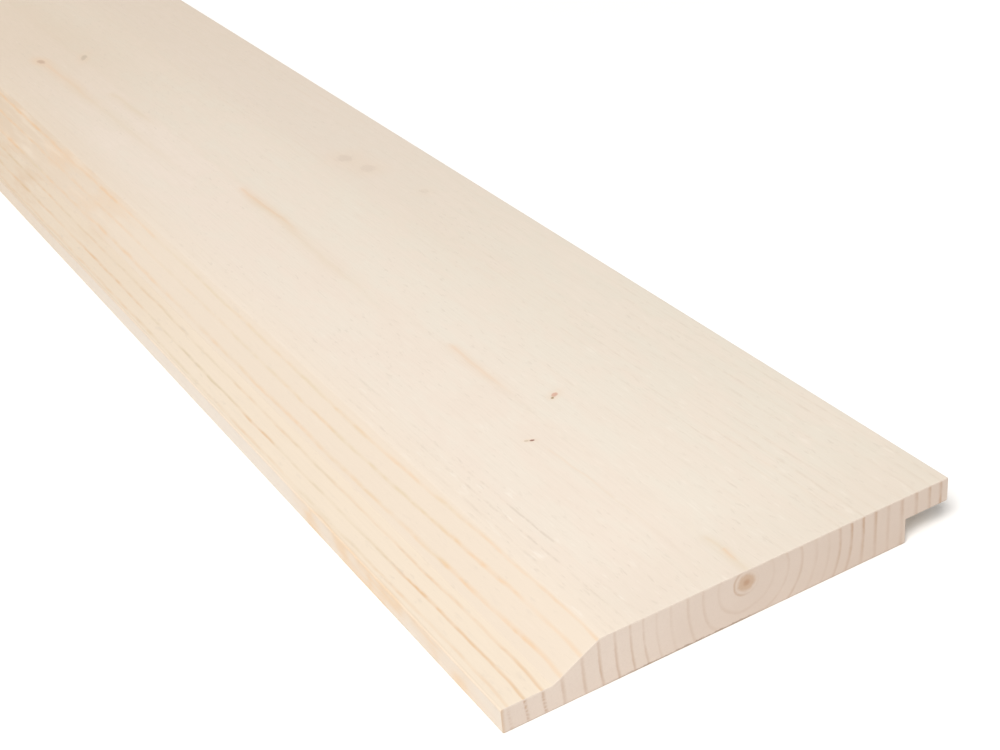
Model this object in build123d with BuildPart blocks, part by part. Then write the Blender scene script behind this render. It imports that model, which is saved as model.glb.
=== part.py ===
from build123d import *
import os

# Shiplap cladding board planed from one length of spruce.
# X runs across the width, from the lip to the tongue.
# Y runs along the grain.
# Z points out of the weather face, so the board lies on its back at Z = 0.

# Driving dimensions, in millimetres
board_length = 1800.0
board_width = 121.0  # lip edge to tongue edge
board_thickness = 13.0
tongue_thickness = 6.4  # the half of the lap that shows on the wall
lap_width = 12.6  # reach of a tongue over the next board's lip
lap_clearance = 0.2  # gap over the lip when two weather faces are flush
bevel_run = 12.2  # width of the slope between the lip and the weather face
arris_radius = 0.5  # easing of the lip's, the tongue's and the heel's outer corners

# Stations across the width, measured from the middle of the board
lip_edge = -board_width / 2
bevel_root = lip_edge + lap_width
bevel_crest = bevel_root + bevel_run
tongue_edge = board_width / 2
shoulder = tongue_edge - lap_width

# Heights above the back of the board
tongue_underside = board_thickness - tongue_thickness
lip_top = tongue_underside - lap_clearance

with BuildPart() as cladding_board:
    with BuildSketch(Plane.XZ) as section:
        with BuildLine():
            Polyline(
                (lip_edge, 0),
                (shoulder, 0),
                (shoulder, tongue_underside),
                (tongue_edge, tongue_underside),
                (tongue_edge, board_thickness),
                (bevel_crest, board_thickness),
                (bevel_root, lip_top),
                (lip_edge, lip_top),
                close=True,
            )
        make_face()
        corners_across = section.vertices().group_by(Axis.X)
        heel = section.vertices().group_by(Axis.Y)[0].sort_by(Axis.X)[-1]
        fillet(corners_across[0] + corners_across[-1] + [heel], radius=arris_radius)
    extrude(amount=board_length / 2, both=True)

cladding_board.part.label = "cladding_board"

os.makedirs("parts", exist_ok=True)
export_step(cladding_board.part, "parts/cladding_board.step")
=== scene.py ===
import math

import bpy
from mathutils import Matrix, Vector


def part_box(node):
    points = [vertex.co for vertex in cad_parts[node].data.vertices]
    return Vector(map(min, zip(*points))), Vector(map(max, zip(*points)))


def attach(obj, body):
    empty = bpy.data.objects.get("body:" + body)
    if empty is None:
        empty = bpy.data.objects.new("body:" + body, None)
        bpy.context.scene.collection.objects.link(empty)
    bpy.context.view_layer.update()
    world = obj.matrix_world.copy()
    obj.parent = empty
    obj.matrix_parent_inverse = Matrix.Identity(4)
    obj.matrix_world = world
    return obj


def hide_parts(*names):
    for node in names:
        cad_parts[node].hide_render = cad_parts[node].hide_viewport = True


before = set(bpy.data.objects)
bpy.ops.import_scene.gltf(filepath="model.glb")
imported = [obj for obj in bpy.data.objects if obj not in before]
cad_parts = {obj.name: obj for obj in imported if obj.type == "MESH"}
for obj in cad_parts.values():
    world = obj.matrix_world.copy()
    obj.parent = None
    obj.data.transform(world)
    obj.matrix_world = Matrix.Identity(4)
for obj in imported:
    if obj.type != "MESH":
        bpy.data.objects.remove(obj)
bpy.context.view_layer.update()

boardLow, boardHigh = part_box("cladding_board")
nearEnd = boardLow.y  # the end that the camera looks at
mm = 0.001
closeBy = 0.01 * mm
print("frame loaded, board is", [round(v, 4) for v in boardHigh - boardLow], "m")


# small helpers for objects and edit mode

def pickOnly(thing):
    bpy.ops.object.select_all(action="DESELECT")
    thing.select_set(True)
    bpy.context.view_layer.objects.active = thing


def selectParts(thing, kind, test):  # kind is VERT, EDGE or FACE, test gets a list of corner places
    bpy.ops.object.mode_set(mode="EDIT")
    bpy.ops.mesh.select_mode(type=kind)
    bpy.ops.mesh.select_all(action="DESELECT")
    bpy.ops.object.mode_set(mode="OBJECT")
    mesh = thing.data
    places = [v.co.copy() for v in mesh.vertices]
    if kind == "VERT":
        for v in mesh.vertices:
            v.select = test([places[v.index]])
    else:
        for part in (mesh.edges if kind == "EDGE" else mesh.polygons):
            part.select = test([places[i] for i in part.vertices])
    bpy.ops.object.mode_set(mode="EDIT")


def cutAcross(point, normal):  # a cut right round the mesh that is being edited
    bpy.ops.mesh.select_all(action="SELECT")
    bpy.ops.mesh.bisect(plane_co=point, plane_no=normal)


def isNear(a, b):
    return abs(a - b) < closeBy


# the board itself: one planed section, 1.8 m long

boardPiece = {
    "lapWidth": 12.6 * mm,
    "bevelRun": 12.2 * mm,
    "tongueThickness": 6.4 * mm,
    "lapClearance": 0.2 * mm,
    "arris": 0.5 * mm,
    "arrisSegments": 4,
    "crestEase": 0.35 * mm,
    "endEase": 0.2 * mm,
    "easeSegments": 2,
    "flatAngle": math.radians(1),  # faces closer than this are made one
    "smoothAngle": math.radians(25),
    "columnWidth": 3.0 * mm,  # cross cuts over the width
    "stretches": [(0.0, 0.06, 40), (0.06, 0.5, 88), (0.5, 1.8, 65)],  # from, to, parts
    "endFacing": 0.7,  # a face turned this far along the board is a sawn end
}

# the section's corners, for the modelling and for the wood's look
lipEdge, tongueEdge, topFace = boardLow.x, boardHigh.x, boardHigh.z
shoulder = tongueEdge - boardPiece["lapWidth"]
bevelRoot = lipEdge + boardPiece["lapWidth"]
bevelCrest = bevelRoot + boardPiece["bevelRun"]
tongueUnder = topFace - boardPiece["tongueThickness"]
lipTop = tongueUnder - boardPiece["lapClearance"]


def makeBoard():
    size = boardPiece

    # a plain bar as far as the rebate's shoulder
    middle = Vector(((lipEdge + shoulder) / 2, 0, topFace / 2))
    bpy.ops.object.select_all(action="DESELECT")
    bpy.ops.mesh.primitive_cube_add(size=1, location=middle)
    board = bpy.context.object
    board.name = board.data.name = "planedBoard"
    board.scale = (shoulder - lipEdge, boardHigh.y - boardLow.y, topFace)
    bpy.ops.object.transform_apply(location=True, rotation=True, scale=True)

    # lip and bevel: two long cuts, then the lip's top goes down
    bpy.ops.object.mode_set(mode="EDIT")
    for across in (bevelRoot, bevelCrest):
        cutAcross((across, 0, 0), (1, 0, 0))
    selectParts(board, "VERT", lambda p: isNear(p[0].z, topFace) and p[0].x < bevelRoot + closeBy)
    bpy.ops.transform.translate(value=(0, 0, lipTop - topFace))

    # tongue: the upper part of the shoulder is drawn out
    def onShoulder(p, lowest):
        return all(isNear(v.x, shoulder) and v.z > lowest - closeBy for v in p)

    selectParts(board, "FACE", lambda p: onShoulder(p, 0))
    bpy.ops.mesh.bisect(plane_co=(0, 0, tongueUnder), plane_no=(0, 0, 1))
    selectParts(board, "FACE", lambda p: onShoulder(p, tongueUnder))
    bpy.ops.mesh.extrude_region_move(TRANSFORM_OT_translate={"value": (size["lapWidth"], 0, 0)})

    # eased long corners
    corners = [
        (lipEdge, 0), (lipEdge, lipTop), (tongueEdge, tongueUnder), (tongueEdge, topFace), (shoulder, 0),
    ]

    def longEdgeAt(p, places):
        return any(all(isNear(v.x, x) and isNear(v.z, z) for v in p) for x, z in places)

    selectParts(board, "EDGE", lambda p: longEdgeAt(p, corners))
    bpy.ops.mesh.bevel(offset=size["arris"], segments=size["arrisSegments"], affect="EDGES")
    selectParts(board, "EDGE", lambda p: longEdgeAt(p, [(bevelCrest, topFace)]))
    bpy.ops.mesh.bevel(offset=size["crestEase"], segments=size["easeSegments"], affect="EDGES")

    # flat faces are made whole again, then the sawn ends lose their sharp corner
    bpy.ops.mesh.select_all(action="SELECT")
    bpy.ops.mesh.dissolve_limited(angle_limit=size["flatAngle"])
    for end in (boardLow.y, boardHigh.y):
        selectParts(board, "EDGE", lambda p: all(isNear(v.y, end) for v in p))
        bpy.ops.mesh.bevel(offset=size["endEase"], segments=size["easeSegments"], affect="EDGES")

    # columns over the width, then rows along the grain, closest at the near end
    columns = int((tongueEdge - lipEdge) / size["columnWidth"])
    for i in range(1, columns):
        cutAcross((lipEdge + i * (tongueEdge - lipEdge) / columns, 0, 0), (1, 0, 0))
    for start, _, _ in size["stretches"][1:]:
        cutAcross((0, nearEnd + start, 0), (0, 1, 0))
    for start, end, parts in size["stretches"]:
        low = max(nearEnd + start, boardLow.y + size["endEase"])
        high = min(nearEnd + end, boardHigh.y - size["endEase"])
        selectParts(
            board, "EDGE",
            lambda p: isNear(min(v.y for v in p), low) and isNear(max(v.y for v in p), high),
        )
        bpy.ops.mesh.subdivide(number_cuts=parts - 1)
    bpy.ops.object.mode_set(mode="OBJECT")
    print("board modelled,", len(board.data.polygons), "faces")
    return board


def dressBoard(board, planed, sawn):
    board.data.materials.append(planed)
    board.data.materials.append(sawn)
    for face in board.data.polygons:
        face.material_index = 1 if abs(face.normal.y) > boardPiece["endFacing"] else 0
    pickOnly(board)
    bpy.ops.object.shade_smooth_by_angle(angle=boardPiece["smoothAngle"])
    weighted = board.modifiers.new("evenShading", "WEIGHTED_NORMAL")
    weighted.keep_sharp = True
    bpy.ops.object.modifier_apply(modifier=weighted.name)
    print("board dressed")


# the board's bake layout: long strips, the near half metre of the upper faces largest

bakeStrips = {
    "sheet": 1024,
    "flatFacing": 0.35,  # a face turned this far up or down is laid out by its width
    # left, bottom, width and height on the sheet, then the stretch along the board
    "upperNear": (16, 8, 992, 492, 0.0, 0.5),
    "upperFar": (16, 508, 992, 196, 0.5, 1.8),
    "under": (16, 712, 992, 132, 0.0, 1.8),
    "lipSide": (16, 852, 992, 24, 0.0, 1.8),
    "tongueSide": (16, 884, 992, 26, 0.0, 1.8),
    "nearEnd": (16, 920, 726, 78),
    "farEnd": (758, 920, 242, 26),
}


def layOutBake(board):
    strips = bakeStrips
    layer = board.data.uv_layers.new(name="OFBake")
    low, size = boardLow, boardHigh - boardLow
    for face in board.data.polygons:
        middle, normal = face.center.y - nearEnd, face.normal
        isEnd = abs(normal.y) > boardPiece["endFacing"]
        isFlat = abs(normal.z) > strips["flatFacing"]
        if isEnd:
            strip = strips["nearEnd" if middle < size.y / 2 else "farEnd"]
        elif isFlat and normal.z > 0:
            strip = strips["upperNear" if middle < strips["upperNear"][-1] else "upperFar"]
        elif isFlat:
            strip = strips["under"]
        else:
            strip = strips["lipSide" if normal.x < 0 else "tongueSide"]
        left, bottom, wide, high, *stretch = strip
        for corner in face.loop_indices:
            at = board.data.vertices[board.data.loops[corner].vertex_index].co
            across = (at.x - low.x) / size.x
            up = (at.z - low.z) / size.z
            if isEnd:
                u, v = across, up
            else:
                start, end = stretch
                u = (at.y - nearEnd - start) / (end - start)
                v = across if isFlat else up
            u = (left + u * wide) / strips["sheet"]
            v = (bottom + v * high) / strips["sheet"]
            layer.data[corner].uv = (u, v)
    print("bake layout ready")


# node helpers

def feed(tree, term, socket):  # a number is set, an output is linked
    if isinstance(term, bpy.types.NodeSocket):
        tree.links.new(term, socket)
    else:
        socket.default_value = term


def calc(tree, operation, *terms, clamp=False):
    node = tree.nodes.new("ShaderNodeMath")
    node.operation = operation
    node.use_clamp = clamp
    for term, socket in zip(terms, node.inputs):
        feed(tree, term, socket)
    return node.outputs[0]


def fade(tree, value, low, high, atLow=0.0, atHigh=1.0):  # a smooth step from low to high
    node = tree.nodes.new("ShaderNodeMapRange")
    node.interpolation_type = "SMOOTHSTEP"
    terms = {"Value": value, "From Min": low, "From Max": high, "To Min": atLow, "To Max": atHigh}
    for name, term in terms.items():
        feed(tree, term, node.inputs[name])
    return node.outputs["Result"]


def mixColour(tree, factor, first, second):
    node = tree.nodes.new("ShaderNodeMix")
    node.data_type = "RGBA"
    node.clamp_factor = True
    feed(tree, factor, node.inputs[0])
    for term, socket in ((first, node.inputs[6]), (second, node.inputs[7])):  # its colour sockets
        feed(tree, term if isinstance(term, bpy.types.NodeSocket) else (*term, 1.0), socket)
    return node.outputs[2]


def noise(tree, vector, scale, detail, rough, seed):  # scale is repeats per metre along X, Y and Z
    mapping = tree.nodes.new("ShaderNodeMapping")
    mapping.inputs["Scale"].default_value = scale
    mapping.inputs["Location"].default_value = (seed, seed * 1.7, seed * 0.6)  # another part of the noise
    tree.links.new(vector, mapping.inputs["Vector"])
    node = tree.nodes.new("ShaderNodeTexNoise")
    node.inputs["Scale"].default_value = 1.0
    node.inputs["Detail"].default_value = detail
    node.inputs["Roughness"].default_value = rough
    tree.links.new(mapping.outputs[0], node.inputs["Vector"])
    return node.outputs["Fac"]


def curve(tree, value, reach, top, points):  # straight runs through given points
    node = tree.nodes.new("ShaderNodeFloatCurve")
    knots = node.mapping.curves[0].points
    knots[0].location = (points[0][0] / reach, points[0][1] / top)
    knots[1].location = (points[-1][0] / reach, points[-1][1] / top)
    for at, height in points[1:-1]:
        knots.new(at / reach, height / top)
    for knot in knots:
        knot.handle_type = "VECTOR"
    node.mapping.update()
    feed(tree, calc(tree, "DIVIDE", value, reach), node.inputs["Value"])
    return calc(tree, "MULTIPLY", node.outputs["Value"], top)


def objectPlace(tree):  # object coordinates, whole and split
    coordinate = tree.nodes.new("ShaderNodeTexCoord")
    split = tree.nodes.new("ShaderNodeSeparateXYZ")
    tree.links.new(coordinate.outputs["Object"], split.inputs[0])
    return coordinate.outputs["Object"], split.outputs[0], split.outputs[1], split.outputs[2]


def newGroup(name, takes, gives):
    tree = bpy.data.node_groups.new(name, "ShaderNodeTree")
    for socket, value in takes.items():
        taken = tree.interface.new_socket(socket, in_out="INPUT", socket_type="NodeSocketFloat")
        taken.default_value = value
    for socket in gives:
        tree.interface.new_socket(socket, in_out="OUTPUT", socket_type="NodeSocketFloat")
    return tree, tree.nodes.new("NodeGroupInput").outputs, tree.nodes.new("NodeGroupOutput").inputs


def useGroup(tree, group, **values):
    node = tree.nodes.new("ShaderNodeGroup")
    node.node_tree = group
    for name, value in values.items():
        feed(tree, value, node.inputs[name])
    return node.outputs


def newMaterial(name):
    material = bpy.data.materials.new(name)
    material.use_nodes = True
    return material, material.node_tree.nodes["Principled BSDF"]


def addBump(tree, shader, height, strength, distance):
    bump = tree.nodes.new("ShaderNodeBump")
    bump.inputs["Strength"].default_value = strength
    bump.inputs["Distance"].default_value = distance
    tree.links.new(height, bump.inputs["Height"])
    tree.links.new(bump.outputs[0], shader.inputs["Normal"])


# growth rings, shared by the planed faces and the sawn ends

ringGrowth = {
    "pithAcross": 2.3 * mm,  # the pith's place on the near end
    "pithHeight": 9.74 * mm,
    # each ring's radius on the near end, in millimetres from the pith, and how strongly its line shows
    "lipSide": [
        (3.3, 0.95), (7.7, 0.30), (11.7, 0.36), (15.7, 0.36), (20.3, 0.26), (23.9, 0.32),
        (27.3, 0.75), (30.6, 0.75), (34.5, 0.75), (38.6, 0.82), (42.8, 0.75), (48.1, 0.85),
        (52.7, 0.75), (57.2, 1.10), (61.1, 0.75), (66.0, 0.50),
    ],
    "tongueSide": [
        (3.3, 0.18), (7.7, 0.16), (11.6, 0.32), (15.5, 0.55), (19.6, 0.28), (23.2, 0.25),
        (26.4, 0.95), (29.7, 1.00), (33.1, 1.05), (36.7, 0.90), (40.4, 0.80), (44.5, 0.95),
        (48.8, 1.05), (52.8, 1.15), (56.0, 1.15), (60.0, 1.00),
    ],
    "mostRadius": 70 * mm,
    "mostRings": 20,
    "mostStrength": 2.0,
    # the ranges below run from, to, then the value at each
    "overPith": (-3 * mm, 3 * mm),
    "lipFlat": (4 * mm, 14 * mm, 1.0, 0.74),  # rings are flatter further from the pith
    "tongueFlat": (28 * mm, 36 * mm, 1.1, 0.45),
    "lean": (0.0, 0.115, 0.0, -2.1 * mm),  # the stem leans aside along the board, then partly back
    "leanBack": (0.130, 0.240, 0.0, 0.45 * mm),
    "leanAtLip": (-52 * mm, -39 * mm, 0.43, 1.0),
    "lapShift": 0.38 * mm,  # the lap is planed a little nearer the pith
    "lapFrom": (0.0, 0.008),
    "lapTo": (-34 * mm, -30 * mm, 1.0, 0.0),
    "bend": (0.15, 0.50, 0.0, 3.2 * mm),
    "ripple": (0.15, 0.35, 0.55 * mm, 1.7 * mm),
    "wave": 0.75 * mm,
    "fray": 0.25 * mm,
    "planed": (0.002, 0.020),  # no wave or beads on the sawn end
    "uneven": (0.30, 0.65, 0.50, 1.15),
    "dashes": (0.30, 0.58, 0.60, 1.10),
    "beads": (0.36, 0.62, -0.50, 0.32),
    "noises": {  # repeats per metre along X, Y and Z, detail, roughness, seed
        "bend": ((9, 3.5, 9), 1.0, 0.5, 3.1),
        "ripple": ((130, 28, 130), 2.0, 0.5, 7.7),
        "wave": ((190, 75, 190), 2.0, 0.5, 13.5),
        "fray": ((1100, 160, 1100), 1.0, 0.5, 1.3),
        "uneven": ((60, 20, 60), 1.0, 0.5, 5.2),
        "dashes": ((220, 62, 220), 2.0, 0.5, 12.6),
        "beads": ((420, 150, 420), 2.0, 0.5, 16.4),
    },
}


def makeGrowthRings():
    grow = ringGrowth
    tree, takes, gives = newGroup("growthRings", {"Inner": 0.2, "Outer": 0.1}, ["Latewood", "Radius"])
    place, x, y, z = objectPlace(tree)
    distance = calc(tree, "SUBTRACT", y, nearEnd)

    def wander(name):
        return calc(tree, "SUBTRACT", noise(tree, place, *grow["noises"][name]), 0.5)

    def patchy(name):
        return fade(tree, noise(tree, place, *grow["noises"][name]), *grow[name])

    # the pith wanders along the grain, less so out at the lip
    lean = fade(tree, distance, *grow["lean"])
    lean = calc(tree, "ADD", lean, fade(tree, distance, *grow["leanBack"]))
    lean = calc(tree, "MULTIPLY", lean, fade(tree, x, *grow["leanAtLip"]))
    onLap = calc(tree, "MULTIPLY", fade(tree, distance, *grow["lapFrom"]), fade(tree, x, *grow["lapTo"]))
    lean = calc(tree, "MULTIPLY_ADD", onLap, grow["lapShift"], lean)
    across = calc(tree, "SUBTRACT", calc(tree, "SUBTRACT", x, grow["pithAcross"]), lean)
    away = calc(tree, "ABSOLUTE", across)
    side = fade(tree, across, *grow["overPith"])

    def bySide(lipValue, tongueValue):
        return calc(tree, "MULTIPLY_ADD", calc(tree, "SUBTRACT", tongueValue, lipValue), side, lipValue)

    flat = bySide(fade(tree, away, *grow["lipFlat"]), fade(tree, away, *grow["tongueFlat"]))
    height = calc(tree, "MULTIPLY", calc(tree, "SUBTRACT", z, grow["pithHeight"]), flat)
    squares = calc(tree, "MULTIPLY_ADD", height, height, calc(tree, "MULTIPLY", across, across))
    radius = calc(tree, "SQRT", squares)

    # slow bends beyond the near end, ripples, waves and frayed edges
    radius = calc(tree, "MULTIPLY_ADD", wander("bend"), fade(tree, distance, *grow["bend"]), radius)
    radius = calc(tree, "MULTIPLY_ADD", wander("ripple"), fade(tree, distance, *grow["ripple"]), radius)
    planed = fade(tree, distance, *grow["planed"])
    radius = calc(tree, "MULTIPLY_ADD", wander("wave"), calc(tree, "MULTIPLY", planed, grow["wave"]), radius)
    radius = calc(tree, "MULTIPLY_ADD", wander("fray"), grow["fray"], radius)

    # ring number against radius, and each ring's strength, as counted on either side of the pith
    def counted(sideRings):
        radii = [(0.0, 0.0)] + [(r * mm, i + 1) for i, (r, shown) in enumerate(sideRings)]
        return curve(tree, radius, grow["mostRadius"], grow["mostRings"], radii)

    def strengthOn(sideRings):
        strengths = [(i + 1, shown) for i, (r, shown) in enumerate(sideRings)]
        return curve(tree, ring, grow["mostRings"], grow["mostStrength"], strengths)

    ring = bySide(counted(grow["lipSide"]), counted(grow["tongueSide"]))
    strength = bySide(strengthOn(grow["lipSide"]), strengthOn(grow["tongueSide"]))

    # latewood darkens towards the ring's outer edge and stops there
    past = calc(tree, "SUBTRACT", ring, calc(tree, "ROUND", ring))
    inner = fade(tree, past, calc(tree, "MULTIPLY", takes["Inner"], -1.0), 0.0)
    late = calc(tree, "MULTIPLY", inner, fade(tree, past, 0.0, takes["Outer"], 1.0, 0.0))
    strength = calc(tree, "MULTIPLY", strength, patchy("uneven"))
    strength = calc(tree, "MULTIPLY", strength, patchy("dashes"))
    strength = calc(tree, "MULTIPLY", strength, calc(tree, "MULTIPLY_ADD", patchy("beads"), planed, 1.0))
    tree.links.new(calc(tree, "MULTIPLY", late, strength), gives["Latewood"])
    tree.links.new(radius, gives["Radius"])
    print("growth rings ready")
    return tree


# an orange streak along the grain, where the plane runs into the pith or a resin vein

grainStreak = {
    "wobble": 4.0 * mm,
    "hairs": 0.8,
    # by distance from the streak's middle in half widths: from, to, value at each
    "soft": (0.0, 1.6, 0.45, 0.0),
    "core": (0.35, 0.95, 0.55, 0.0),
    # over the streak's length
    "swell": (0.0, 0.5),
    "stop": (0.90, 1.0, 1.0, 0.0),
}


def makeGrainStreak():
    form = grainStreak
    takesDefaults = {
        "Across": 0.0, "From": 0.0, "To": 0.1, "Slant": 0.0, "Width": 1.0 * mm, "Wobble": 0.5, "Hairs": 0.5,
    }
    tree, takes, gives = newGroup("grainStreak", takesDefaults, ["Streak"])
    _, x, y, _ = objectPlace(tree)
    distance = calc(tree, "SUBTRACT", y, nearEnd)
    length = calc(tree, "SUBTRACT", takes["To"], takes["From"])
    along = calc(tree, "DIVIDE", calc(tree, "SUBTRACT", distance, takes["From"]), length)
    centre = calc(tree, "MULTIPLY_ADD", along, takes["Slant"], takes["Across"])
    wobble = calc(tree, "SUBTRACT", takes["Wobble"], 0.5)
    offset = calc(tree, "MULTIPLY_ADD", wobble, form["wobble"], calc(tree, "SUBTRACT", x, centre))
    spread = calc(tree, "DIVIDE", calc(tree, "ABSOLUTE", offset), takes["Width"])
    soft = fade(tree, spread, *form["soft"])
    core = fade(tree, calc(tree, "MULTIPLY_ADD", takes["Hairs"], form["hairs"], spread), *form["core"])
    ends = calc(tree, "MULTIPLY", fade(tree, along, *form["swell"]), fade(tree, along, *form["stop"]))
    tree.links.new(calc(tree, "MULTIPLY", calc(tree, "ADD", soft, core), ends), gives["Streak"])
    print("grain streak ready")
    return tree


# a pin knot: a small core with a soft ring of discoloured wood

pinKnot = {
    "ragged": 0.7,
    "core": (0.5, 1.15, 1.0, 0.0),  # by distance in half widths: from, to, value at each
    "halo": (0.7, 3.4, 1.0, 0.0),
    "depth": (topFace - 3 * mm, topFace - 1 * mm),  # it doesn't run through to the back
}


def makePinKnot():
    form = pinKnot
    takesDefaults = {
        "Across": 0.0, "Distance": 0.1, "Wide": 1.0 * mm, "Long": 1.0 * mm, "Turn": 0.0, "Rough": 0.5,
    }
    tree, takes, gives = newGroup("pinKnot", takesDefaults, ["Core", "Halo"])
    _, x, y, z = objectPlace(tree)
    right = calc(tree, "SUBTRACT", x, takes["Across"])
    ahead = calc(tree, "SUBTRACT", calc(tree, "SUBTRACT", y, nearEnd), takes["Distance"])
    cosine = calc(tree, "COSINE", takes["Turn"])
    sine = calc(tree, "SINE", takes["Turn"])
    u = calc(tree, "ADD", calc(tree, "MULTIPLY", right, cosine), calc(tree, "MULTIPLY", ahead, sine))
    v = calc(tree, "SUBTRACT", calc(tree, "MULTIPLY", ahead, cosine), calc(tree, "MULTIPLY", right, sine))
    u = calc(tree, "DIVIDE", u, takes["Wide"])
    v = calc(tree, "DIVIDE", v, takes["Long"])
    reach = calc(tree, "SQRT", calc(tree, "MULTIPLY_ADD", u, u, calc(tree, "MULTIPLY", v, v)))
    reach = calc(tree, "MULTIPLY_ADD", calc(tree, "SUBTRACT", takes["Rough"], 0.5), form["ragged"], reach)
    onFace = fade(tree, z, *form["depth"])
    tree.links.new(calc(tree, "MULTIPLY", fade(tree, reach, *form["core"]), onFace), gives["Core"])
    tree.links.new(calc(tree, "MULTIPLY", fade(tree, reach, *form["halo"]), onFace), gives["Halo"])
    print("pin knot ready")
    return tree


# the planed faces

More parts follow.
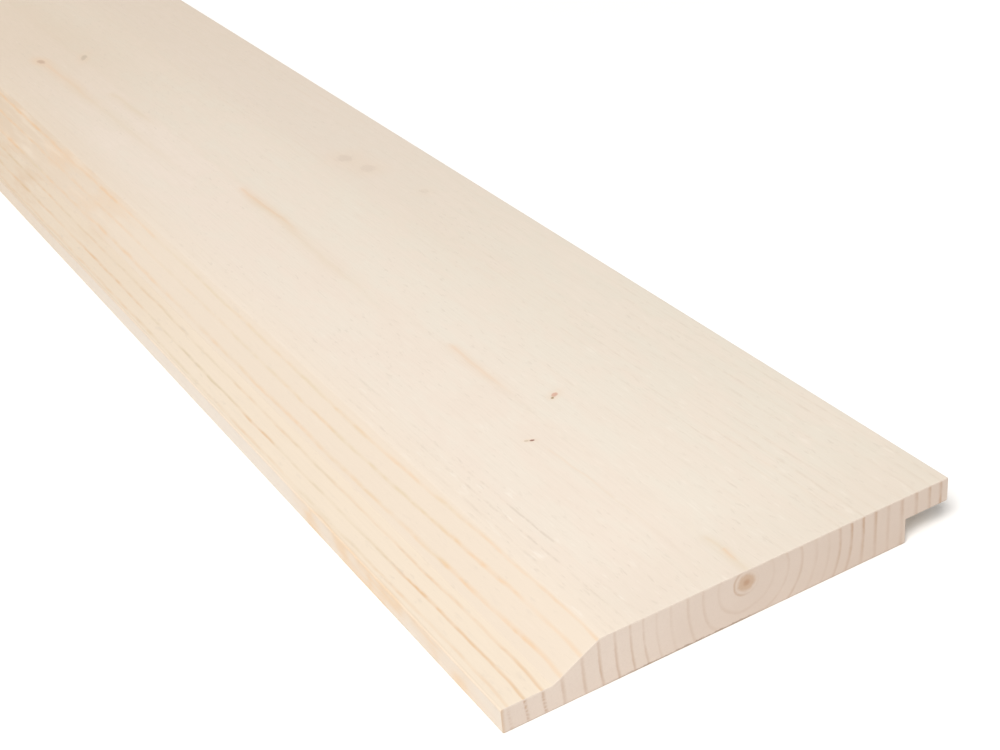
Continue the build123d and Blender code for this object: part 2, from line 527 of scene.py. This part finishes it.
planedLook = {
    "cream": (0.745, 0.655, 0.556),
    "rightCream": (0.692, 0.620, 0.521),
    "rosy": (0.688, 0.578, 0.462),
    "pink": (0.735, 0.632, 0.535),
    "cool": (0.715, 0.652, 0.557),
    "dry": (0.672, 0.580, 0.482),
    "mauve": (0.688, 0.592, 0.502),
    "side": (0.668, 0.594, 0.514),
    "crestWarm": (0.742, 0.638, 0.528),
    "lipWarm": (0.738, 0.626, 0.498),
    # the bevel's warm tone, made darker as painted shade
    "bevelWarmAndShade": (0.648, 0.550, 0.446),
    "farWarm": (0.640, 0.515, 0.385),
    "farBevelAndShade": (0.588, 0.468, 0.350),
    "blotch": (0.640, 0.480, 0.340),
    "wisp": (0.740, 0.645, 0.535),
    "latewood": (0.575, 0.462, 0.300),
    "orangeLatewood": (0.655, 0.435, 0.250),
    "stroke": (0.560, 0.480, 0.395),
    "fleck": (0.800, 0.725, 0.630),
    "streak": (0.705, 0.515, 0.360),
    "tan": (0.665, 0.545, 0.405),
    "resin": (0.660, 0.505, 0.356),
    "lineInner": 0.20,  # a line's two sides, in parts of a ring
    "lineOuter": 0.12,
    "toneWave": 0.95,  # the tone turns rosy and back over this length
    "rosyTurn": -0.55,
    "rosyBroad": 0.7,
    "rosyBase": 0.04,
    "crestDeeper": 0.55,
    "sideDeeper": 0.62,
    "sideLines": -0.8,
    "backLines": 0.28,
    "strokes": 0.45,
    "flecksInBand": 0.45,
    "flecksElsewhere": 0.06,
    "roughness": 0.54,
    "fibreRoughness": 0.16,
    "lineRoughness": -0.10,
    "specular": 0.3,
    "fibreHeight": 0.35,
    "scoreHeight": -0.55,
    "fleckHeight": 0.55,
    "knotHeight": -0.8,
    "bumpStrength": 0.5,
    "bumpDistance": 0.12 * mm,
    "over": {  # across the board: from, to, value at each
        "rightCream": (-15 * mm, 62 * mm),
        "pink": (-2 * mm, 2 * mm, 0.42, 0.10),
        "coolFrom": (-1 * mm, 3 * mm),
        "coolTo": (14 * mm, 36 * mm, 0.24, 0.0),
        "mauve": (22 * mm, 36 * mm),
        "yellowing": (0.0, 25 * mm, 1.0, 0.45),
        "bevel": (bevelRoot - 0.2 * mm, bevelRoot + 0.2 * mm),
        "besideCrest": (bevelCrest - 0.3 * mm, bevelCrest + 13.7 * mm, 0.9, 0.0),
        "lap": (bevelCrest - 0.4 * mm, bevelCrest + 0.4 * mm, 0.95, 0.0),
        "side": (lipEdge + 0.15 * mm, lipEdge + 0.6 * mm, 1.0, 0.0),
        "arris": (lipEdge + 0.3 * mm, lipEdge + 0.9 * mm, 1.0, 0.0),
        "lines": (bevelCrest - 0.7 * mm, bevelCrest + 1.1 * mm, 0.66, 0.05),
        "bandFrom": (bevelCrest - 0.3 * mm, bevelCrest + 1.7 * mm),
        "bandTo": (-27 * mm, -17 * mm, 1.0, 0.45),
    },
    "along": {  # along the board, from the near end
        "pink": (0.15, 0.35, 1.0, 1.7),
        "dry": (0.0, 0.03, 0.40, 0.0),
        "mauve": (0.12, 0.30, 0.0, 0.5),
        "yellowFrom": (0.30, 0.48),
        "yellowTo": (0.6, 1.0, 0.52, 0.0),
        "lipDeeper": (0.17, 0.26, 0.0, 0.34),
        "lipDeepest": (0.28, 0.40, 0.0, 0.40),
        "bevelDeeper": (0.22, 0.44, 0.0, 0.95),
        "deeper": (0.20, 0.36, 0.0, 0.75),
        "paleAgain": (0.7, 1.0, 1.0, 0.25),
        "arris": (0.16, 0.32, 0.35, 0.80),
        "lines": (0.07, 0.18, 1.0, 0.64),
        "linesAgain": (0.24, 0.32, 0.0, 0.30),
        "orangeNear": (0.03, 0.10, 0.2, 0.0),
        "orangeFar": (0.22, 0.32, 0.0, 0.14),
        "band": (0.06, 0.18, 1.2, 0.20),
    },
    "up": {  # up from the back
        "upper": (0.2 * mm, 1.2 * mm),
        "side": (lipTop - 0.55 * mm, lipTop - 0.2 * mm, 1.0, 0.15),
        "arris": (lipTop - 0.8 * mm, lipTop - 0.3 * mm),
    },
    "noises": {  # repeats per metre along X, Y and Z, detail, roughness, seed
        "broad": ((34, 5, 34), 2.0, 0.5, 2.2),
        "mottle": ((170, 60, 170), 2.0, 0.6, 3.7),
        "cloud": ((150, 26, 150), 3.0, 0.6, 14.3),
        "wisps": ((420, 34, 420), 2.0, 0.6, 15.8),
        "hue": ((90, 22, 90), 2.0, 0.5, 10.2),
        "dash": ((520, 190, 520), 3.0, 0.65, 0.7),
        "loose": ((950, 230, 950), 2.0, 0.55, 9.4),
        "patches": ((60, 25, 60), 2.0, 0.5, 8.1),
        "fibre": ((1700, 60, 1700), 2.0, 0.6, 6.1),
        "flecks": ((620, 130, 620), 2.0, 0.6, 11.3),
        "wobble": ((45, 38, 45), 2.0, 0.6, 2.4),
        "hairs": ((1100, 55, 1100), 1.0, 0.5, 8.8),
        "rough": ((900, 700, 900), 1.0, 0.5, 4.4),
    },
    "levels": {  # noise from, to, value at each
        "pink": (0.40, 0.65, -0.1, 0.35),
        "cool": (0.35, 0.60, 0.25, -0.1),
        "cloud": (0.48, 0.68),
        "wisps": (0.45, 0.75, 0.0, 0.5),
        "hue": (0.40, 0.62),
        "dash": (0.44, 0.60),
        "loose": (0.58, 0.74),
        "patches": (0.42, 0.62, 0.30, 0.70),
        "fibre": (0.35, 0.80, 0.0, 0.10),
        "flecks": (0.58, 0.78),
    },
    # across, from, to, slant, width, strength, colour
    "streaks": [
        (-1.3 * mm, 0.214, 0.268, 0.6 * mm, 1.9 * mm, 0.75, "streak"),
        (-4.6 * mm, 0.140, 0.262, 3.4 * mm, 3.2 * mm, 0.40, "tan"),
        (0.6 * mm, 0.090, 0.130, 0.2 * mm, 2.1 * mm, 0.48, "streak"),
        (1.9 * mm, -0.010, 0.017, 0.4 * mm, 1.7 * mm, 0.60, "tan"),
        (2.4 * mm, 0.0030, 0.0098, 0.0, 1.1 * mm, 0.70, "streak"),
        (-12.0 * mm, 0.368, 0.436, -1.2 * mm, 3.0 * mm, 0.60, "streak"),
        (-11.5 * mm, 0.280, 0.420, -1.5 * mm, 3.0 * mm, 0.40, "tan"),
        (-3.2 * mm, 0.330, 0.386, -0.6 * mm, 2.6 * mm, 0.55, "tan"),
        (-60.6 * mm, -0.06, 0.106, 0.0, 0.7 * mm, 1.0, "resin"),
        (-4.0 * mm, 0.036, 0.069, -1.8 * mm, 0.45 * mm, 0.30, "streak"),
        (-4.5 * mm, 0.020, 0.045, -0.1 * mm, 0.35 * mm, 0.28, "tan"),
        (1.5 * mm, 0.760, 0.940, -2.0 * mm, 2.2 * mm, 0.60, "streak"),
        (-4.0 * mm, 1.280, 1.420, 2.5 * mm, 2.0 * mm, 0.55, "streak"),
    ],
    # across, distance, half width, half length, turn, core colour, core strength, halo strength
    "knots": [
        (-6.75 * mm, 0.0732, 0.75 * mm, 0.38 * mm, -0.3, (0.270, 0.125, 0.095), 1.0, 0.16),
        (-7.95 * mm, 0.0739, 0.65 * mm, 0.42 * mm, -0.5, (0.450, 0.340, 0.220), 0.48, 0.14),
        (9.25 * mm, 0.0880, 1.30 * mm, 0.85 * mm, 0.45, (0.590, 0.360, 0.270), 0.90, 0.20),
        (7.95 * mm, 0.0870, 0.58 * mm, 0.48 * mm, 0.60, (0.340, 0.235, 0.120), 0.92, 0.12),
        (36.9 * mm, 0.264, 3.20 * mm, 3.60 * mm, 0.3, (0.560, 0.460, 0.380), 0.38, 0.14),
        (39.0 * mm, 0.251, 2.80 * mm, 3.60 * mm, 0.2, (0.560, 0.460, 0.380), 0.32, 0.14),
        (44.7 * mm, 0.222, 1.60 * mm, 2.20 * mm, 0.0, (0.560, 0.460, 0.370), 0.20, 0.08),
        (-13.8 * mm, 0.4388, 1.50 * mm, 3.40 * mm, 0.1, (0.420, 0.270, 0.190), 0.48, 0.50),
        (1.6 * mm, 0.431, 1.30 * mm, 3.60 * mm, -0.45, (0.400, 0.330, 0.250), 0.44, 0.18),
        (12.0 * mm, 0.690, 1.30 * mm, 1.10 * mm, 0.2, (0.380, 0.230, 0.150), 0.80, 0.25),
        (-21.0 * mm, 0.705, 1.00 * mm, 0.90 * mm, 0.0, (0.520, 0.360, 0.260), 0.70, 0.20),
        (30.0 * mm, 1.020, 1.60 * mm, 1.80 * mm, 0.3, (0.500, 0.380, 0.280), 0.60, 0.20),
        (-9.0 * mm, 1.035, 1.20 * mm, 1.00 * mm, -0.3, (0.330, 0.200, 0.130), 0.80, 0.25),
        (6.0 * mm, 1.380, 1.10 * mm, 1.20 * mm, 0.1, (0.430, 0.290, 0.200), 0.75, 0.25),
        (-27.0 * mm, 1.660, 1.40 * mm, 1.60 * mm, 0.2, (0.500, 0.370, 0.270), 0.60, 0.20),
    ],
}


def makePlanedSpruce(rings, streakGroup, knotGroup):
    look = planedLook
    material, shader = newMaterial("planedSpruce")
    tree = material.node_tree
    place, x, y, z = objectPlace(tree)
    distance = calc(tree, "SUBTRACT", y, nearEnd)
    grain = useGroup(tree, rings, Inner=look["lineInner"], Outer=look["lineOuter"])

    def over(name):
        return fade(tree, x, *look["over"][name])

    def along(name):
        return fade(tree, distance, *look["along"][name])

    def up(name):
        return fade(tree, z, *look["up"][name])

    def woodNoise(name):
        return noise(tree, place, *look["noises"][name])

    def level(value, name):
        return fade(tree, value, *look["levels"][name])

    # broad tone: paler left of the pith, rosy along the length, cool right of the pith
    colour = mixColour(tree, over("rightCream"), look["cream"], look["rightCream"])
    turn = calc(tree, "COSINE", calc(tree, "MULTIPLY", distance, 2 * math.pi / look["toneWave"]))
    rosy = calc(tree, "MULTIPLY_ADD", woodNoise("broad"), look["rosyBroad"], look["rosyBase"])
    rosy = calc(tree, "MULTIPLY_ADD", turn, look["rosyTurn"], rosy, clamp=True)
    colour = mixColour(tree, rosy, colour, look["rosy"])
    mottle = woodNoise("mottle")
    pink = calc(tree, "MULTIPLY", over("pink"), along("pink"))
    pink = calc(tree, "ADD", pink, level(mottle, "pink"), clamp=True)
    colour = mixColour(tree, pink, colour, look["pink"])
    cool = calc(tree, "MULTIPLY", over("coolFrom"), over("coolTo"))
    cool = calc(tree, "ADD", cool, level(mottle, "cool"), clamp=True)
    colour = mixColour(tree, cool, colour, look["cool"])
    colour = mixColour(tree, along("dry"), colour, look["dry"])
    colour = mixColour(tree, calc(tree, "MULTIPLY", over("mauve"), along("mauve")), colour, look["mauve"])
    yellowing = calc(tree, "MULTIPLY", along("yellowFrom"), along("yellowTo"))
    yellowing = calc(tree, "MULTIPLY", yellowing, over("yellowing"))
    colour = mixColour(tree, yellowing, colour, look["farWarm"])

    # the lip and bevel are warmer, more so and blotchy some way along; the bevel is also darker, painted
    # shade against the key light that falls harder on its tilt
    paleAgain = along("paleAgain")
    lipDeeper = calc(tree, "ADD", along("lipDeeper"), along("lipDeepest"))
    lipDeeper = calc(tree, "MULTIPLY", lipDeeper, paleAgain)
    lip = mixColour(tree, lipDeeper, look["lipWarm"], look["farWarm"])
    # the bevel's colour carries painted shade against the key light
    bevelDeeper = calc(tree, "MULTIPLY", along("bevelDeeper"), paleAgain)
    bevel = mixColour(tree, bevelDeeper, look["bevelWarmAndShade"], look["farBevelAndShade"])
    warm = mixColour(tree, over("bevel"), lip, bevel)
    deeper = calc(tree, "MULTIPLY", along("deeper"), paleAgain)
    blotches = calc(tree, "MULTIPLY", level(woodNoise("cloud"), "cloud"), deeper)
    warm = mixColour(tree, blotches, warm, look["blotch"])
    wisps = calc(tree, "MULTIPLY", level(woodNoise("wisps"), "wisps"), deeper)
    warm = mixColour(tree, wisps, warm, look["wisp"])
    crestDeeper = calc(tree, "MULTIPLY", deeper, look["crestDeeper"])
    crest = mixColour(tree, crestDeeper, look["crestWarm"], look["farWarm"])
    upper = up("upper")  # none of this on the back
    colour = mixColour(tree, calc(tree, "MULTIPLY", over("besideCrest"), upper), colour, crest)
    colour = mixColour(tree, calc(tree, "MULTIPLY", over("lap"), upper), colour, warm)

    # the lip's side, and the arris above it painted darker: painted shade over the highlight that the light
    # puts on the rounded edge
    onSide = calc(tree, "MULTIPLY", over("side"), up("side"))
    sideDeeper = calc(tree, "MULTIPLY", deeper, look["sideDeeper"])
    colour = mixColour(tree, onSide, colour, mixColour(tree, sideDeeper, look["side"], look["farWarm"]))
    # painted shade on the arris, against its highlight
    arris = calc(tree, "MULTIPLY", over("arris"), up("arris"))
    arris = calc(tree, "MULTIPLY", arris, along("arris"))
    colour = mixColour(tree, arris, colour, look["farBevelAndShade"])

    # latewood lines show whole on the lip and bevel, and as short dashes on the weather face
    showing = calc(tree, "ADD", along("lines"), along("linesAgain"))
    showing = calc(tree, "MULTIPLY", over("lines"), showing)
    showing = calc(tree, "MULTIPLY", showing, calc(tree, "MULTIPLY_ADD", onSide, look["sideLines"], 1.0))
    onBack = calc(tree, "MULTIPLY_ADD", upper, -look["backLines"], look["backLines"])
    showing = calc(tree, "MULTIPLY_ADD", showing, upper, onBack)
    lines = calc(tree, "MULTIPLY", grain["Latewood"], showing, clamp=True)
    hue = calc(tree, "ADD", woodNoise("hue"), along("orangeNear"))
    hue = calc(tree, "ADD", hue, along("orangeFar"))
    lineColour = mixColour(tree, level(hue, "hue"), look["latewood"], look["orangeLatewood"])
    colour = mixColour(tree, lines, colour, lineColour)
    band = calc(tree, "MULTIPLY", over("bandFrom"), over("bandTo"))
    band = calc(tree, "MULTIPLY", band, along("band"))
    dashes = calc(tree, "MULTIPLY", grain["Latewood"], level(woodNoise("dash"), "dash"))
    dashes = calc(tree, "MULTIPLY", dashes, band, clamp=True)
    loose = level(woodNoise("loose"), "loose")
    scores = calc(tree, "MULTIPLY", loose, level(woodNoise("patches"), "patches"))
    strokes = calc(tree, "MAXIMUM", dashes, scores, clamp=True)
    colour = mixColour(tree, calc(tree, "MULTIPLY", strokes, look["strokes"]), colour, look["stroke"])

    # fibres, and pale flecks of torn fibre beside the dashes
    fibre = woodNoise("fibre")
    colour = mixColour(tree, level(fibre, "fibre"), colour, look["stroke"])
    fleckShare = calc(tree, "MULTIPLY_ADD", band, look["flecksInBand"], look["flecksElsewhere"])
    flecks = calc(tree, "MULTIPLY", level(woodNoise("flecks"), "flecks"), fleckShare)
    colour = mixColour(tree, flecks, colour, look["fleck"])

    # streaks and pin knots at their places
    wobble = woodNoise("wobble")
    hairs = woodNoise("hairs")
    for across, start, end, slant, width, strength, tint in look["streaks"]:
        streak = useGroup(
            tree, streakGroup,
            Across=across, From=start, To=end, Slant=slant, Width=width, Wobble=wobble, Hairs=hairs,
        )["Streak"]
        colour = mixColour(tree, calc(tree, "MULTIPLY", streak, strength), colour, look[tint])
    rough = woodNoise("rough")
    dents = 0.0
    for across, reach, wide, long, turned, core, strength, halo in look["knots"]:
        knot = useGroup(
            tree, knotGroup,
            Across=across, Distance=reach, Wide=wide, Long=long, Turn=turned, Rough=rough,
        )
        colour = mixColour(tree, calc(tree, "MULTIPLY", knot["Halo"], halo), colour, look["streak"])
        colour = mixColour(tree, calc(tree, "MULTIPLY", knot["Core"], strength), colour, core)
        dents = calc(tree, "MAXIMUM", knot["Core"], dents)
    tree.links.new(colour, shader.inputs["Base Color"])

    dull = calc(tree, "MULTIPLY_ADD", fibre, look["fibreRoughness"], look["roughness"])
    dull = calc(tree, "MULTIPLY_ADD", lines, look["lineRoughness"], dull)
    tree.links.new(dull, shader.inputs["Roughness"])
    shader.inputs["Specular IOR Level"].default_value = look["specular"]

    height = calc(tree, "MULTIPLY", fibre, look["fibreHeight"])
    height = calc(tree, "MULTIPLY_ADD", scores, look["scoreHeight"], height)
    height = calc(tree, "MULTIPLY_ADD", flecks, look["fleckHeight"], height)
    height = calc(tree, "MULTIPLY_ADD", dents, look["knotHeight"], height)
    addBump(tree, shader, height, look["bumpStrength"], look["bumpDistance"])
    print("planed face ready")
    return material


# the sawn ends

endLook = {
    "early": (0.655, 0.557, 0.480),
    "dusky": (0.578, 0.474, 0.398),
    "latewood": (0.440, 0.290, 0.195),
    "pithDisc": (0.500, 0.352, 0.250),
    "pithHeart": (0.430, 0.265, 0.170),
    "paleGap": (0.620, 0.510, 0.417),
    # dark brown of the lower edge line: torn fibres and painted contact shadow
    "tornAndShadow": (0.260, 0.185, 0.120),
    # pale of the upper rim: frayed fibres and a painted highlight
    "frayedRimHighlight": (0.690, 0.600, 0.515),
    "resin": (0.560, 0.410, 0.285),
    "toneSpread": 0.8,
    "toneBase": -0.4,
    "lines": 0.56,
    "frayedRimHighlightRagged": 0.9 * mm,
    "resinRagged": 0.6 * mm,
    "discRagged": 1.2 * mm,
    "discInset": 0.6 * mm,
    "tornAndShadowRagged": 1.0 * mm,
    "tornAndShadowInset": 0.74 * mm,
    "roughness": 0.68,
    "poreRoughness": 0.2,
    "specular": 0.2,
    "sawHeight": 0.5,
    "poreHeight": 0.5,
    "bumpStrength": 0.5,
    "bumpDistance": 0.12 * mm,
    # from, to, value at each
    "over": {  # across the end
        "lineInner": (10 * mm, 30 * mm, 0.20, 0.28),
        "lineOuter": (10 * mm, 30 * mm, 0.11, 0.16),
        "tone": (-50 * mm, 45 * mm, 0.15, 0.85),
        "dots": (bevelRoot - 2.1 * mm, bevelRoot + 0.9 * mm, 1.0, 0.0),
        "weakFrom": (20 * mm, 25 * mm),
        "weakTo": (36 * mm, 38 * mm, 1.0, 0.0),
        "tornAndShadowFrom": (-40 * mm, -24 * mm, 0.10, 0.80),
        "tornAndShadowTo": (0.0, 8 * mm, 1.0, 0.15),
    },
    "weakBelow": (3 * mm, 9 * mm, 0.42, 0.0),
    "frayedRimHighlightDepth": (0.6 * mm, 0.95 * mm, 0.75, 0.0),
    "resinWidth": (lipEdge + 0.5 * mm, lipEdge + 1.4 * mm, 0.75, 0.0),
    "gapRadius": (2.7 * mm, 3.3 * mm, 0.25, 0.0),
    "discRadius": (1.5 * mm, 3.0 * mm, 0.88, 0.0),
    "heartRadius": (0.3 * mm, 1.3 * mm, 0.7, 0.0),
    "tornAndShadowHeight": (0.0, 0.40 * mm, 0.75, 0.0),
    "poreLevel": (0.42, 0.80, 0.0, 0.35),
    "dotLevel": (0.38, 0.62, 0.35, 1.2),
    "tornAndShadowLevel": (0.30, 0.46, 0.25, 1.0),
    "noises": {  # repeats per metre along X, Y and Z, detail, roughness, seed
        "tone": ((60, 60, 60), 2.0, 0.5, 1.9),
        "pores": ((2400, 900, 2400), 2.0, 0.65, 3.3),
        "dots": ((500, 500, 1900), 2.0, 0.5, 6.6),
        "ragged": ((700, 700, 700), 2.0, 0.6, 4.9),
        "tornAndShadow": ((70, 70, 70), 1.0, 0.5, 7.2),
        "saw": ((260, 1, 2400), 1.0, 0.5, 5.5),
    },
}


def makeSawnEndGrain(rings):
    look = endLook
    material, shader = newMaterial("sawnEndGrain")
    tree = material.node_tree
    place, x, _, z = objectPlace(tree)

    def over(name):
        return fade(tree, x, *look["over"][name])

    def endNoise(name):
        return noise(tree, place, *look["noises"][name])

    grain = useGroup(tree, rings, Inner=over("lineInner"), Outer=over("lineOuter"))

    # earlywood, darker towards the tongue
    tone = calc(tree, "MULTIPLY_ADD", endNoise("tone"), look["toneSpread"], look["toneBase"])
    tone = calc(tree, "ADD", tone, over("tone"), clamp=True)
    colour = mixColour(tree, tone, look["early"], look["dusky"])
    pores = endNoise("pores")
    colour = mixColour(tree, fade(tree, pores, *look["poreLevel"]), colour, look["dusky"])

    # latewood lines, broken into dots at the lip and weaker low down past the pith
    dots = fade(tree, endNoise("dots"), *look["dotLevel"])
    show = calc(tree, "MULTIPLY_ADD", calc(tree, "SUBTRACT", dots, 1.0), over("dots"), 1.0)
    weak = calc(tree, "MULTIPLY", over("weakFrom"), over("weakTo"))
    weak = calc(tree, "MULTIPLY", weak, fade(tree, z, *look["weakBelow"]))
    show = calc(tree, "MULTIPLY", calc(tree, "SUBTRACT", show, weak), look["lines"])
    lines = calc(tree, "MULTIPLY", grain["Latewood"], show, clamp=True)
    colour = mixColour(tree, lines, colour, look["latewood"])

    # a pale frayed rim along the upper edge, with a painted highlight where the edge catches the light
    ragged = endNoise("ragged")
    slope = (topFace - lipTop) / boardPiece["bevelRun"]
    rise = calc(tree, "MULTIPLY", calc(tree, "SUBTRACT", x, bevelRoot), slope)
    upper = calc(tree, "MINIMUM", calc(tree, "ADD", calc(tree, "MAXIMUM", rise, 0.0), lipTop), topFace)
    below = calc(tree, "MULTIPLY_ADD", ragged, look["frayedRimHighlightRagged"], calc(tree, "SUBTRACT", upper, z))
    colour = mixColour(tree, fade(tree, below, *look["frayedRimHighlightDepth"]), colour, look["frayedRimHighlight"])

    # resin at the lip's own corner
    resin = calc(tree, "MULTIPLY_ADD", ragged, look["resinRagged"], x)
    colour = mixColour(tree, fade(tree, resin, *look["resinWidth"]), colour, look["resin"])

    # the pith: a pale gap inside the first ring, a brown disc and its heart
    radius = grain["Radius"]
    colour = mixColour(tree, fade(tree, radius, *look["gapRadius"]), colour, look["paleGap"])
    disc = calc(tree, "SUBTRACT", radius, look["discInset"])
    disc = calc(tree, "MULTIPLY_ADD", ragged, look["discRagged"], disc)
    colour = mixColour(tree, fade(tree, disc, *look["discRadius"]), colour, look["pithDisc"])
    colour = mixColour(tree, fade(tree, radius, *look["heartRadius"]), colour, look["pithHeart"])

    # a dark line along the lower edge: fibres torn out by the saw, and painted contact shadow where the end
    # meets the floor
    edge = calc(tree, "SUBTRACT", z, look["tornAndShadowInset"])
    edge = calc(tree, "MULTIPLY_ADD", ragged, look["tornAndShadowRagged"], edge)
    where = fade(tree, endNoise("tornAndShadow"), *look["tornAndShadowLevel"])
    where = calc(tree, "MULTIPLY", where, over("tornAndShadowFrom"))
    where = calc(tree, "MULTIPLY", where, over("tornAndShadowTo"))
    # painted contact shadow and torn fibres along the lower edge
    tornAndShadow = calc(tree, "MULTIPLY", fade(tree, edge, *look["tornAndShadowHeight"]), where)
    colour = mixColour(tree, tornAndShadow, colour, look["tornAndShadow"])
    tree.links.new(colour, shader.inputs["Base Color"])

    dull = calc(tree, "MULTIPLY_ADD", pores, look["poreRoughness"], look["roughness"])
    tree.links.new(dull, shader.inputs["Roughness"])
    shader.inputs["Specular IOR Level"].default_value = look["specular"]
    height = calc(tree, "MULTIPLY", pores, look["poreHeight"])
    height = calc(tree, "MULTIPLY_ADD", endNoise("saw"), look["sawHeight"], height)
    addBump(tree, shader, height, look["bumpStrength"], look["bumpDistance"])
    print("sawn end ready")
    return material


# floor, light and camera

studio = {
    "floorSide": 30.0,
    "floorGap": 0.1 * mm,
    "floorColour": (0.955, 0.935, 0.910),
    "floorRoughness": 0.9,
    "worldStrength": 0.42,
    # place, aim, side, beam in degrees and power
    "panels": {
        "keyPanel": ((-0.86, -1.52, 1.48), (0.0, -0.75, 0.0), 0.95, 160, 27.7),
        "farPanel": ((-0.50, 0.20, 1.70), (0.0, 0.15, 0.0), 0.80, 95, 1.6),
        "backPanel": ((-0.40, 0.62, 1.70), (0.0, 0.62, 0.0), 0.80, 62, 2.5),
        "floorPanel": ((0.38, -0.66, 0.60), (0.38, -0.66, 0.0), 0.10, 40, 0.02),
    },
    "cameraPlace": (-0.18204, -1.14105, 0.24218),
    "cameraYaw": 28.148,
    "cameraPitch": 30.251,
    "cameraRoll": -5.549,
    "cameraLens": 62.463,
    "cameraSensor": 36.0,
    "cameraClip": 0.01,
}


def makeStudio():
    bpy.ops.object.select_all(action="DESELECT")
    bpy.ops.mesh.primitive_plane_add(size=studio["floorSide"], location=(0, 0, -studio["floorGap"]))
    floor = bpy.context.object
    floor.name = "studioFloor"
    paint, shader = newMaterial("palePaint")
    shader.inputs["Base Color"].default_value = (*studio["floorColour"], 1)
    shader.inputs["Roughness"].default_value = studio["floorRoughness"]
    shader.inputs["Specular IOR Level"].default_value = 0.0
    floor.data.materials.append(paint)

    world = bpy.data.worlds.new("softWhite")
    world.use_nodes = True
    sky = world.node_tree.nodes["Background"]
    sky.inputs["Color"].default_value = (1, 1, 1, 1)
    sky.inputs["Strength"].default_value = studio["worldStrength"]
    bpy.context.scene.world = world
    bpy.context.scene.view_settings.view_transform = "Standard"

    for name, (place, aim, side, beam, power) in studio["panels"].items():
        bpy.ops.object.light_add(type="AREA", location=place)
        panel = bpy.context.object
        panel.name = name
        panel.data.shape = "SQUARE"
        panel.data.size = side
        panel.data.spread = math.radians(beam)
        panel.data.energy = power
        panel.rotation_euler = (Vector(aim) - Vector(place)).to_track_quat("-Z", "Y").to_euler()

    bpy.ops.object.camera_add(location=studio["cameraPlace"])
    camera = bpy.context.object
    camera.name = "photoCamera"
    camera.rotation_euler = (math.radians(90 - studio["cameraPitch"]), 0, -math.radians(studio["cameraYaw"]))
    camera.rotation_euler.rotate_axis("Z", math.radians(studio["cameraRoll"]))
    camera.data.lens = studio["cameraLens"]
    camera.data.sensor_width = studio["cameraSensor"]
    camera.data.clip_start = studio["cameraClip"]
    bpy.context.scene.camera = camera
    print("studio ready")


board = makeBoard()
rings = makeGrowthRings()
planedSpruce = makePlanedSpruce(rings, makeGrainStreak(), makePinKnot())
dressBoard(board, planedSpruce, makeSawnEndGrain(rings))
layOutBake(board)
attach(board, "root")
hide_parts("cladding_board")

makeStudio()
